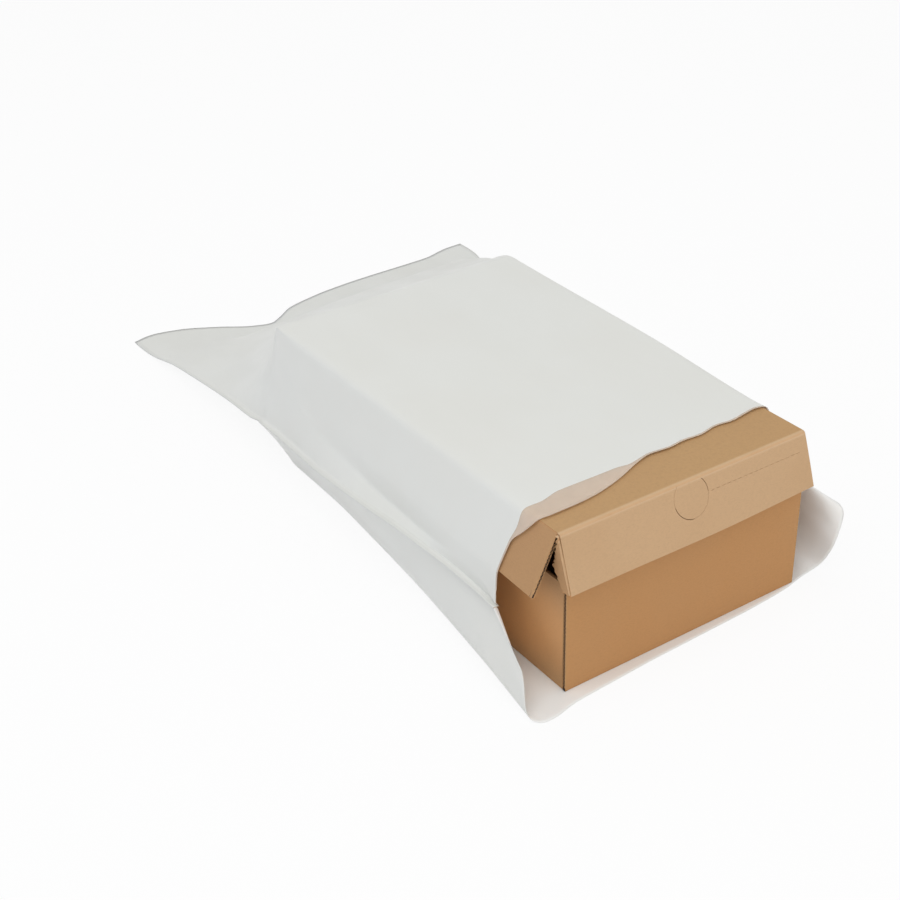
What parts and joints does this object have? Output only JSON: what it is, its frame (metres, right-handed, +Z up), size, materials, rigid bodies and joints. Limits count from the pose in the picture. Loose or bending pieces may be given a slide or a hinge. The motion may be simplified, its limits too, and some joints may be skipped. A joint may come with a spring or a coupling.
{
  "type": "plastic mailing bag",
  "caption": "White film mailing bag lying on its back layer and drawn over a plain corrugated carton, open at its mouth, sealed down its sides and at its far end.",
  "frame": {"origin": "middle of the whole object's bounding box, on the surface it lies on", "axes": "+Y along the bag from its open mouth to its closed end, +X to the right seen from the mouth, +Z up"},
  "size_m": [0.4884, 0.8048, 0.1545],
  "materials": {
    "bag_film": "satin",
    "adhesive": "glossy",
    "liner": "satin",
    "carton_board": "matte"
  },
  "bodies": {
    "root": {"mailing_bag": "bag_film", "adhesive_strip": "adhesive", "release_liner": "liner", "carton": "carton_board"}
  },
  "joints": []
}
